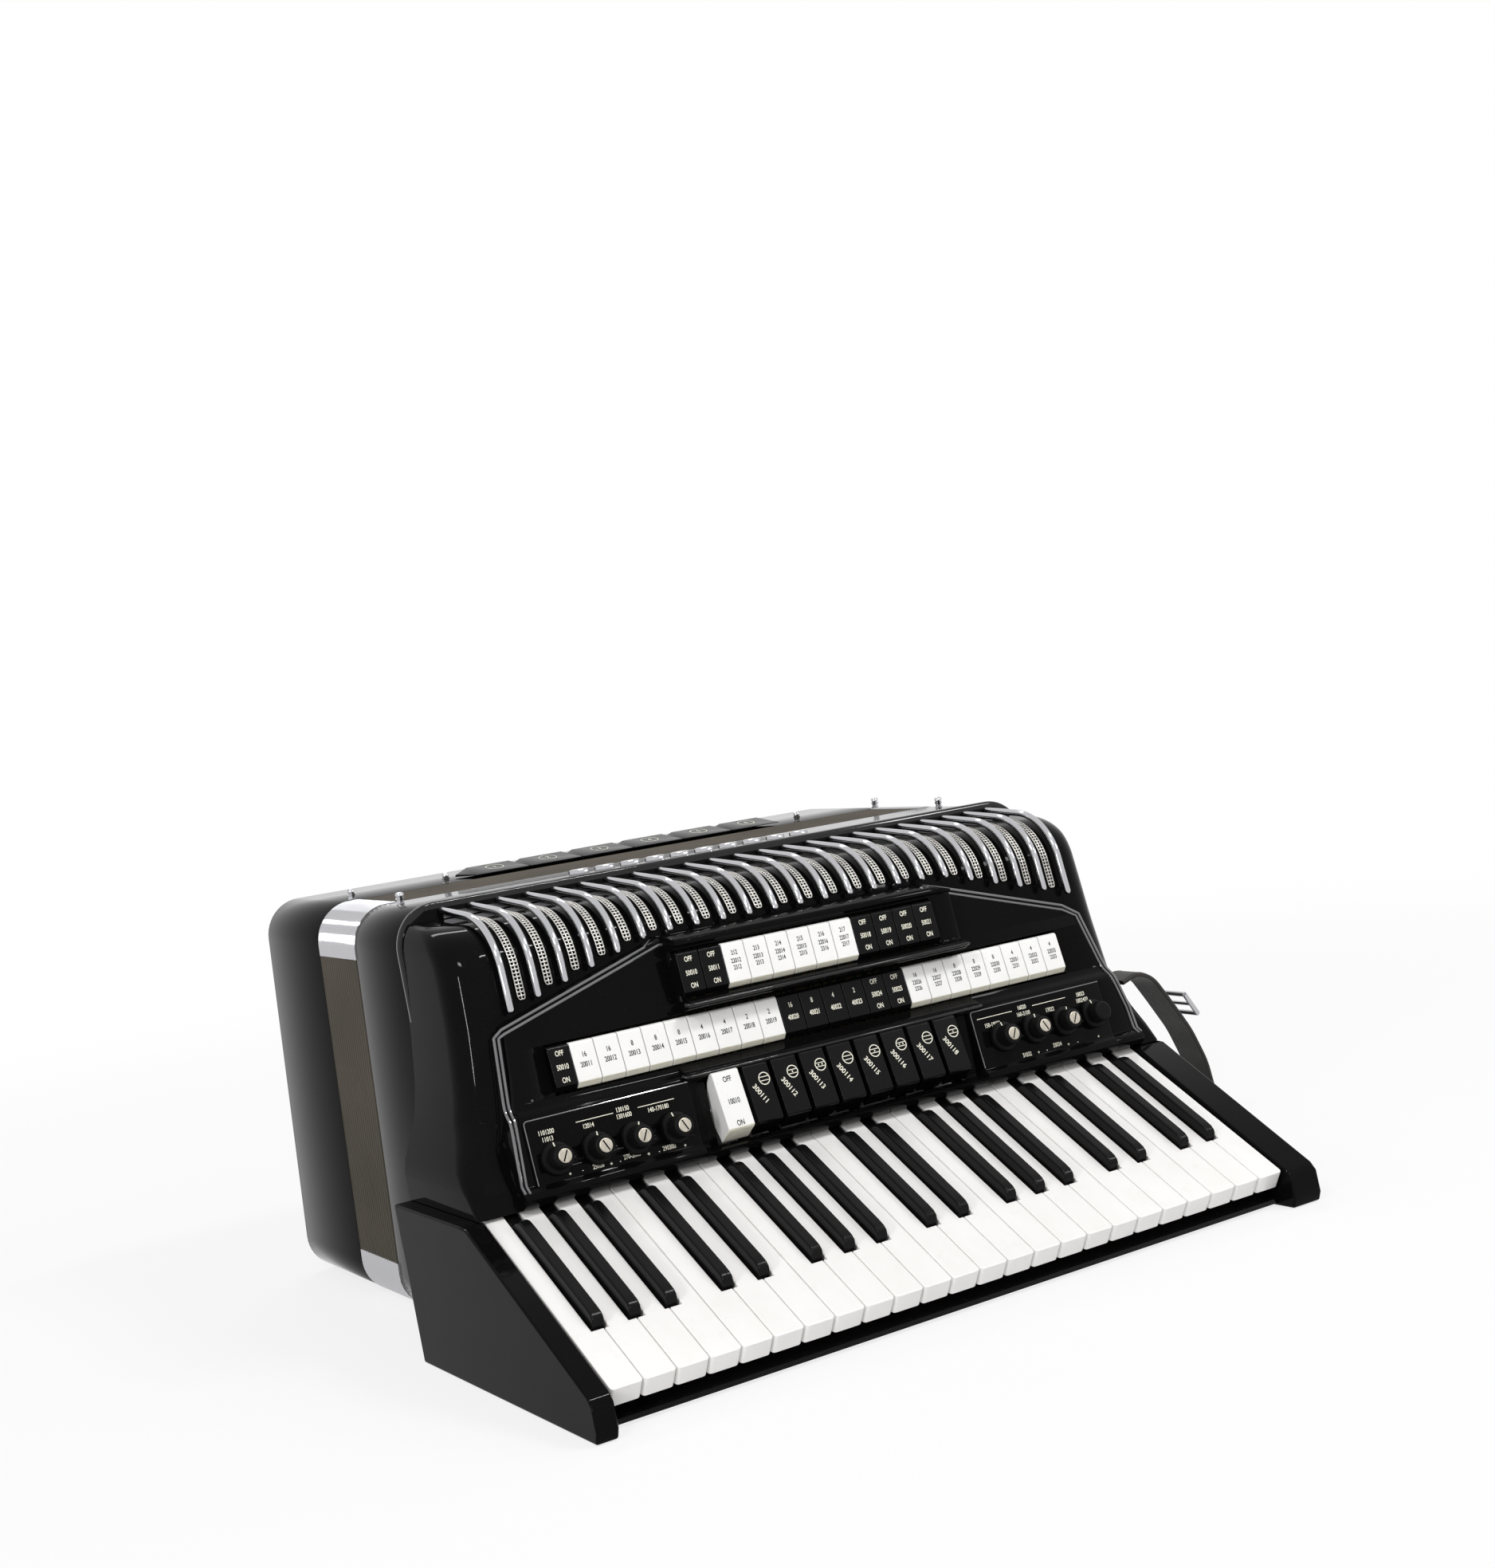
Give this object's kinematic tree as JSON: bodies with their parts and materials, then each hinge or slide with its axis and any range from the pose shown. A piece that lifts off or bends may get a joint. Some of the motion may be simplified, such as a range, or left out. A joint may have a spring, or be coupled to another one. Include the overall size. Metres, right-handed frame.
{
  "type": "electronic piano accordion",
  "caption": "Piano accordion with electronic tab rows and knobs, sprung treble keys, barred grille, folding bellows and a bass side with buttons and hand strap.",
  "frame": {"origin": "centre of the treble casing's flat back, which the instrument lies on", "axes": "+X along the keyboard to the high end, +Y to the bass side along the bellows, +Z out of the instrument's front"},
  "size_m": [0.6142, 0.4918, 0.2596],
  "materials": {
    "ivory_plastic": "polished white key tops",
    "black_plastic": "polished black",
    "black_celluloid": "high gloss black celluloid",
    "chrome": "bright chrome",
    "ivory_tabs": "satin white",
    "bellows_cloth": "black bellows cloth on card",
    "black_leather": "black strap leather"
  },
  "bodies": {
    "treble_body": {"treble_casing": "black_celluloid", "treble_cover": "black_celluloid", "treble_grille": "chrome", "shoulder_straps": "black_leather", "bellows": "bellows_cloth"},
    "bass_body": {"bass_casing": "black_celluloid"},
    "bass_buttons": {"bass_buttons": "ivory_tabs"},
    "bass_tabs": {"bass_tabs": "black_plastic"},
    "upper_tabs": {"upper_tabs": "ivory_tabs"},
    "middle_tabs": {"middle_tabs": "ivory_tabs"},
    "lower_tabs": {"lower_tabs": "black_plastic"},
    "key_F3": {"key_F3": "ivory_plastic"},
    "key_Fs3": {"key_Fs3": "black_plastic"},
    "key_G3": {"key_G3": "ivory_plastic"},
    "key_Gs3": {"key_Gs3": "black_plastic"},
    "key_A3": {"key_A3": "ivory_plastic"},
    "key_As3": {"key_As3": "black_plastic"},
    "key_B3": {"key_B3": "ivory_plastic"},
    "key_C4": {"key_C4": "ivory_plastic"},
    "key_Cs4": {"key_Cs4": "black_plastic"},
    "key_D4": {"key_D4": "ivory_plastic"},
    "key_Ds4": {"key_Ds4": "black_plastic"},
    "key_E4": {"key_E4": "ivory_plastic"},
    "key_F4": {"key_F4": "ivory_plastic"},
    "key_Fs4": {"key_Fs4": "black_plastic"},
    "key_G4": {"key_G4": "ivory_plastic"},
    "key_Gs4": {"key_Gs4": "black_plastic"},
    "key_A4": {"key_A4": "ivory_plastic"},
    "key_As4": {"key_As4": "black_plastic"},
    "key_B4": {"key_B4": "ivory_plastic"},
    "key_C5": {"key_C5": "ivory_plastic"},
    "key_Cs5": {"key_Cs5": "black_plastic"},
    "key_D5": {"key_D5": "ivory_plastic"},
    "key_Ds5": {"key_Ds5": "black_plastic"},
    "key_E5": {"key_E5": "ivory_plastic"},
    "key_F5": {"key_F5": "ivory_plastic"},
    "key_Fs5": {"key_Fs5": "black_plastic"},
    "key_G5": {"key_G5": "ivory_plastic"},
    "key_Gs5": {"key_Gs5": "black_plastic"},
    "key_A5": {"key_A5": "ivory_plastic"},
    "key_As5": {"key_As5": "black_plastic"},
    "key_B5": {"key_B5": "ivory_plastic"},
    "key_C6": {"key_C6": "ivory_plastic"},
    "key_Cs6": {"key_Cs6": "black_plastic"},
    "key_D6": {"key_D6": "ivory_plastic"},
    "key_Ds6": {"key_Ds6": "black_plastic"},
    "key_E6": {"key_E6": "ivory_plastic"},
    "key_F6": {"key_F6": "ivory_plastic"},
    "key_Fs6": {"key_Fs6": "black_plastic"},
    "key_G6": {"key_G6": "ivory_plastic"},
    "key_Gs6": {"key_Gs6": "black_plastic"},
    "key_A6": {"key_A6": "ivory_plastic"},
    "knob_left_1": {"knob_left_1": "black_plastic"},
    "knob_left_2": {"knob_left_2": "black_plastic"},
    "knob_left_3": {"knob_left_3": "black_plastic"},
    "knob_left_4": {"knob_left_4": "black_plastic"},
    "knob_right_1": {"knob_right_1": "black_plastic"},
    "knob_right_2": {"knob_right_2": "black_plastic"},
    "knob_right_3": {"knob_right_3": "black_plastic"},
    "knob_right_4": {"knob_right_4": "black_plastic"}
  },
  "joints": [
    {"name": "bellows_draw", "type": "slide", "parent": "treble_body", "child": "bass_body", "axis": [0, 1, 0], "range_m": [0, 0.28], "deforming": ["bellows"]},
    {"name": "key_F3_tip", "type": "hinge", "parent": "treble_body", "child": "key_F3", "pos_m": [0, -0.10532, 0.09456], "axis": [1, 0, 0], "range_deg": [0, 2], "stiffness_Nm_per_rad": 6, "springref_deg": -1.72},
    {"name": "key_Fs3_tip", "type": "hinge", "parent": "treble_body", "child": "key_Fs3", "pos_m": [0, -0.10532, 0.09456], "axis": [1, 0, 0], "range_deg": [0, 2], "stiffness_Nm_per_rad": 6, "springref_deg": -1.72},
    {"name": "key_G3_tip", "type": "hinge", "parent": "treble_body", "child": "key_G3", "pos_m": [0, -0.10532, 0.09456], "axis": [1, 0, 0], "range_deg": [0, 2], "stiffness_Nm_per_rad": 6, "springref_deg": -1.72},
    {"name": "key_Gs3_tip", "type": "hinge", "parent": "treble_body", "child": "key_Gs3", "pos_m": [0, -0.10532, 0.09456], "axis": [1, 0, 0], "range_deg": [0, 2], "stiffness_Nm_per_rad": 6, "springref_deg": -1.72},
    {"name": "key_A3_tip", "type": "hinge", "parent": "treble_body", "child": "key_A3", "pos_m": [0, -0.10532, 0.09456], "axis": [1, 0, 0], "range_deg": [0, 2], "stiffness_Nm_per_rad": 6, "springref_deg": -1.72},
    {"name": "key_As3_tip", "type": "hinge", "parent": "treble_body", "child": "key_As3", "pos_m": [0, -0.10532, 0.09456], "axis": [1, 0, 0], "range_deg": [0, 2], "stiffness_Nm_per_rad": 6, "springref_deg": -1.72},
    {"name": "key_B3_tip", "type": "hinge", "parent": "treble_body", "child": "key_B3", "pos_m": [0, -0.10532, 0.09456], "axis": [1, 0, 0], "range_deg": [0, 2], "stiffness_Nm_per_rad": 6, "springref_deg": -1.72},
    {"name": "key_C4_tip", "type": "hinge", "parent": "treble_body", "child": "key_C4", "pos_m": [0, -0.10532, 0.09456], "axis": [1, 0, 0], "range_deg": [0, 2], "stiffness_Nm_per_rad": 6, "springref_deg": -1.72},
    {"name": "key_Cs4_tip", "type": "hinge", "parent": "treble_body", "child": "key_Cs4", "pos_m": [0, -0.10532, 0.09456], "axis": [1, 0, 0], "range_deg": [0, 2], "stiffness_Nm_per_rad": 6, "springref_deg": -1.72},
    {"name": "key_D4_tip", "type": "hinge", "parent": "treble_body", "child": "key_D4", "pos_m": [0, -0.10532, 0.09456], "axis": [1, 0, 0], "range_deg": [0, 2], "stiffness_Nm_per_rad": 6, "springref_deg": -1.72},
    {"name": "key_Ds4_tip", "type": "hinge", "parent": "treble_body", "child": "key_Ds4", "pos_m": [0, -0.10532, 0.09456], "axis": [1, 0, 0], "range_deg": [0, 2], "stiffness_Nm_per_rad": 6, "springref_deg": -1.72},
    {"name": "key_E4_tip", "type": "hinge", "parent": "treble_body", "child": "key_E4", "pos_m": [0, -0.10532, 0.09456], "axis": [1, 0, 0], "range_deg": [0, 2], "stiffness_Nm_per_rad": 6, "springref_deg": -1.72},
    {"name": "key_F4_tip", "type": "hinge", "parent": "treble_body", "child": "key_F4", "pos_m": [0, -0.10532, 0.09456], "axis": [1, 0, 0], "range_deg": [0, 2], "stiffness_Nm_per_rad": 6, "springref_deg": -1.72},
    {"name": "key_Fs4_tip", "type": "hinge", "parent": "treble_body", "child": "key_Fs4", "pos_m": [0, -0.10532, 0.09456], "axis": [1, 0, 0], "range_deg": [0, 2], "stiffness_Nm_per_rad": 6, "springref_deg": -1.72},
    {"name": "key_G4_tip", "type": "hinge", "parent": "treble_body", "child": "key_G4", "pos_m": [0, -0.10532, 0.09456], "axis": [1, 0, 0], "range_deg": [0, 2], "stiffness_Nm_per_rad": 6, "springref_deg": -1.72},
    {"name": "key_Gs4_tip", "type": "hinge", "parent": "treble_body", "child": "key_Gs4", "pos_m": [0, -0.10532, 0.09456], "axis": [1, 0, 0], "range_deg": [0, 2], "stiffness_Nm_per_rad": 6, "springref_deg": -1.72},
    {"name": "key_A4_tip", "type": "hinge", "parent": "treble_body", "child": "key_A4", "pos_m": [0, -0.10532, 0.09456], "axis": [1, 0, 0], "range_deg": [0, 2], "stiffness_Nm_per_rad": 6, "springref_deg": -1.72},
    {"name": "key_As4_tip", "type": "hinge", "parent": "treble_body", "child": "key_As4", "pos_m": [0, -0.10532, 0.09456], "axis": [1, 0, 0], "range_deg": [0, 2], "stiffness_Nm_per_rad": 6, "springref_deg": -1.72},
    {"name": "key_B4_tip", "type": "hinge", "parent": "treble_body", "child": "key_B4", "pos_m": [0, -0.10532, 0.09456], "axis": [1, 0, 0], "range_deg": [0, 2], "stiffness_Nm_per_rad": 6, "springref_deg": -1.72},
    {"name": "key_C5_tip", "type": "hinge", "parent": "treble_body", "child": "key_C5", "pos_m": [0, -0.10532, 0.09456], "axis": [1, 0, 0], "range_deg": [0, 2], "stiffness_Nm_per_rad": 6, "springref_deg": -1.72},
    {"name": "key_Cs5_tip", "type": "hinge", "parent": "treble_body", "child": "key_Cs5", "pos_m": [0, -0.10532, 0.09456], "axis": [1, 0, 0], "range_deg": [0, 2], "stiffness_Nm_per_rad": 6, "springref_deg": -1.72},
    {"name": "key_D5_tip", "type": "hinge", "parent": "treble_body", "child": "key_D5", "pos_m": [0, -0.10532, 0.09456], "axis": [1, 0, 0], "range_deg": [0, 2], "stiffness_Nm_per_rad": 6, "springref_deg": -1.72},
    {"name": "key_Ds5_tip", "type": "hinge", "parent": "treble_body", "child": "key_Ds5", "pos_m": [0, -0.10532, 0.09456], "axis": [1, 0, 0], "range_deg": [0, 2], "stiffness_Nm_per_rad": 6, "springref_deg": -1.72},
    {"name": "key_E5_tip", "type": "hinge", "parent": "treble_body", "child": "key_E5", "pos_m": [0, -0.10532, 0.09456], "axis": [1, 0, 0], "range_deg": [0, 2], "stiffness_Nm_per_rad": 6, "springref_deg": -1.72},
    {"name": "key_F5_tip", "type": "hinge", "parent": "treble_body", "child": "key_F5", "pos_m": [0, -0.10532, 0.09456], "axis": [1, 0, 0], "range_deg": [0, 2], "stiffness_Nm_per_rad": 6, "springref_deg": -1.72},
    {"name": "key_Fs5_tip", "type": "hinge", "parent": "treble_body", "child": "key_Fs5", "pos_m": [0, -0.10532, 0.09456], "axis": [1, 0, 0], "range_deg": [0, 2], "stiffness_Nm_per_rad": 6, "springref_deg": -1.72},
    {"name": "key_G5_tip", "type": "hinge", "parent": "treble_body", "child": "key_G5", "pos_m": [0, -0.10532, 0.09456], "axis": [1, 0, 0], "range_deg": [0, 2], "stiffness_Nm_per_rad": 6, "springref_deg": -1.72},
    {"name": "key_Gs5_tip", "type": "hinge", "parent": "treble_body", "child": "key_Gs5", "pos_m": [0, -0.10532, 0.09456], "axis": [1, 0, 0], "range_deg": [0, 2], "stiffness_Nm_per_rad": 6, "springref_deg": -1.72},
    {"name": "key_A5_tip", "type": "hinge", "parent": "treble_body", "child": "key_A5", "pos_m": [0, -0.10532, 0.09456], "axis": [1, 0, 0], "range_deg": [0, 2], "stiffness_Nm_per_rad": 6, "springref_deg": -1.72},
    {"name": "key_As5_tip", "type": "hinge", "parent": "treble_body", "child": "key_As5", "pos_m": [0, -0.10532, 0.09456], "axis": [1, 0, 0], "range_deg": [0, 2], "stiffness_Nm_per_rad": 6, "springref_deg": -1.72},
    {"name": "key_B5_tip", "type": "hinge", "parent": "treble_body", "child": "key_B5", "pos_m": [0, -0.10532, 0.09456], "axis": [1, 0, 0], "range_deg": [0, 2], "stiffness_Nm_per_rad": 6, "springref_deg": -1.72},
    {"name": "key_C6_tip", "type": "hinge", "parent": "treble_body", "child": "key_C6", "pos_m": [0, -0.10532, 0.09456], "axis": [1, 0, 0], "range_deg": [0, 2], "stiffness_Nm_per_rad": 6, "springref_deg": -1.72},
    {"name": "key_Cs6_tip", "type": "hinge", "parent": "treble_body", "child": "key_Cs6", "pos_m": [0, -0.10532, 0.09456], "axis": [1, 0, 0], "range_deg": [0, 2], "stiffness_Nm_per_rad": 6, "springref_deg": -1.72},
    {"name": "key_D6_tip", "type": "hinge", "parent": "treble_body", "child": "key_D6", "pos_m": [0, -0.10532, 0.09456], "axis": [1, 0, 0], "range_deg": [0, 2], "stiffness_Nm_per_rad": 6, "springref_deg": -1.72},
    {"name": "key_Ds6_tip", "type": "hinge", "parent": "treble_body", "child": "key_Ds6", "pos_m": [0, -0.10532, 0.09456], "axis": [1, 0, 0], "range_deg": [0, 2], "stiffness_Nm_per_rad": 6, "springref_deg": -1.72},
    {"name": "key_E6_tip", "type": "hinge", "parent": "treble_body", "child": "key_E6", "pos_m": [0, -0.10532, 0.09456], "axis": [1, 0, 0], "range_deg": [0, 2], "stiffness_Nm_per_rad": 6, "springref_deg": -1.72},
    {"name": "key_F6_tip", "type": "hinge", "parent": "treble_body", "child": "key_F6", "pos_m": [0, -0.10532, 0.09456], "axis": [1, 0, 0], "range_deg": [0, 2], "stiffness_Nm_per_rad": 6, "springref_deg": -1.72},
    {"name": "key_Fs6_tip", "type": "hinge", "parent": "treble_body", "child": "key_Fs6", "pos_m": [0, -0.10532, 0.09456], "axis": [1, 0, 0], "range_deg": [0, 2], "stiffness_Nm_per_rad": 6, "springref_deg": -1.72},
    {"name": "key_G6_tip", "type": "hinge", "parent": "treble_body", "child": "key_G6", "pos_m": [0, -0.10532, 0.09456], "axis": [1, 0, 0], "range_deg": [0, 2], "stiffness_Nm_per_rad": 6, "springref_deg": -1.72},
    {"name": "key_Gs6_tip", "type": "hinge", "parent": "treble_body", "child": "key_Gs6", "pos_m": [0, -0.10532, 0.09456], "axis": [1, 0, 0], "range_deg": [0, 2], "stiffness_Nm_per_rad": 6, "springref_deg": -1.72},
    {"name": "key_A6_tip", "type": "hinge", "parent": "treble_body", "child": "key_A6", "pos_m": [0, -0.10532, 0.09456], "axis": [1, 0, 0], "range_deg": [0, 2], "stiffness_Nm_per_rad": 6, "springref_deg": -1.72},
    {"name": "knob_left_1_turn", "type": "hinge", "parent": "treble_body", "child": "knob_left_1", "pos_m": [-0.2078, -0.14816, 0.114], "axis": [0, -0.966, 0.2585], "range_deg": [-150, 150]},
    {"name": "knob_left_2_turn", "type": "hinge", "parent": "treble_body", "child": "knob_left_2", "pos_m": [-0.1821, -0.14816, 0.114], "axis": [0, -0.966, 0.2585], "range_deg": [-150, 150]},
    {"name": "knob_left_3_turn", "type": "hinge", "parent": "treble_body", "child": "knob_left_3", "pos_m": [-0.1571, -0.14816, 0.114], "axis": [0, -0.966, 0.2585], "range_deg": [-150, 150]},
    {"name": "knob_left_4_turn", "type": "hinge", "parent": "treble_body", "child": "knob_left_4", "pos_m": [-0.1308, -0.14816, 0.114], "axis": [0, -0.966, 0.2585], "range_deg": [-150, 150]},
    {"name": "knob_right_1_turn", "type": "hinge", "parent": "treble_body", "child": "knob_right_1", "pos_m": [0.1123, -0.14708, 0.118], "axis": [0, -0.966, 0.2585], "range_deg": [-150, 150]},
    {"name": "knob_right_2_turn", "type": "hinge", "parent": "treble_body", "child": "knob_right_2", "pos_m": [0.1379, -0.14708, 0.118], "axis": [0, -0.966, 0.2585], "range_deg": [-150, 150]},
    {"name": "knob_right_3_turn", "type": "hinge", "parent": "treble_body", "child": "knob_right_3", "pos_m": [0.1626, -0.14708, 0.118], "axis": [0, -0.966, 0.2585], "range_deg": [-150, 150]},
    {"name": "knob_right_4_turn", "type": "hinge", "parent": "treble_body", "child": "knob_right_4", "pos_m": [0.1875, -0.14708, 0.118], "axis": [0, -0.966, 0.2585], "range_deg": [-150, 150]},
    {"name": "upper_tabs_rock", "type": "hinge", "parent": "treble_body", "child": "upper_tabs", "pos_m": [0, -0.1189, 0.19377], "axis": [1, 0, 0], "range_deg": [-5, 5]},
    {"name": "middle_tabs_rock", "type": "hinge", "parent": "treble_body", "child": "middle_tabs", "pos_m": [0, -0.11925, 0.156], "axis": [1, 0, 0], "range_deg": [-5, 5]},
    {"name": "lower_tabs_rock", "type": "hinge", "parent": "treble_body", "child": "lower_tabs", "pos_m": [0, -0.13789, 0.11729], "axis": [1, 0, 0], "range_deg": [-5, 5]},
    {"name": "bass_buttons_press", "type": "slide", "parent": "bass_body", "child": "bass_buttons", "axis": [0, -1, 0], "range_m": [0, 0.004], "stiffness_N_per_m": 1500, "springref_m": -0.004},
    {"name": "bass_tabs_rock", "type": "hinge", "parent": "bass_body", "child": "bass_tabs", "pos_m": [0, 0.1205, 0.2537], "axis": [1, 0, 0], "range_deg": [0, 3], "stiffness_Nm_per_rad": 1, "springref_deg": -2.86}
  ]
}
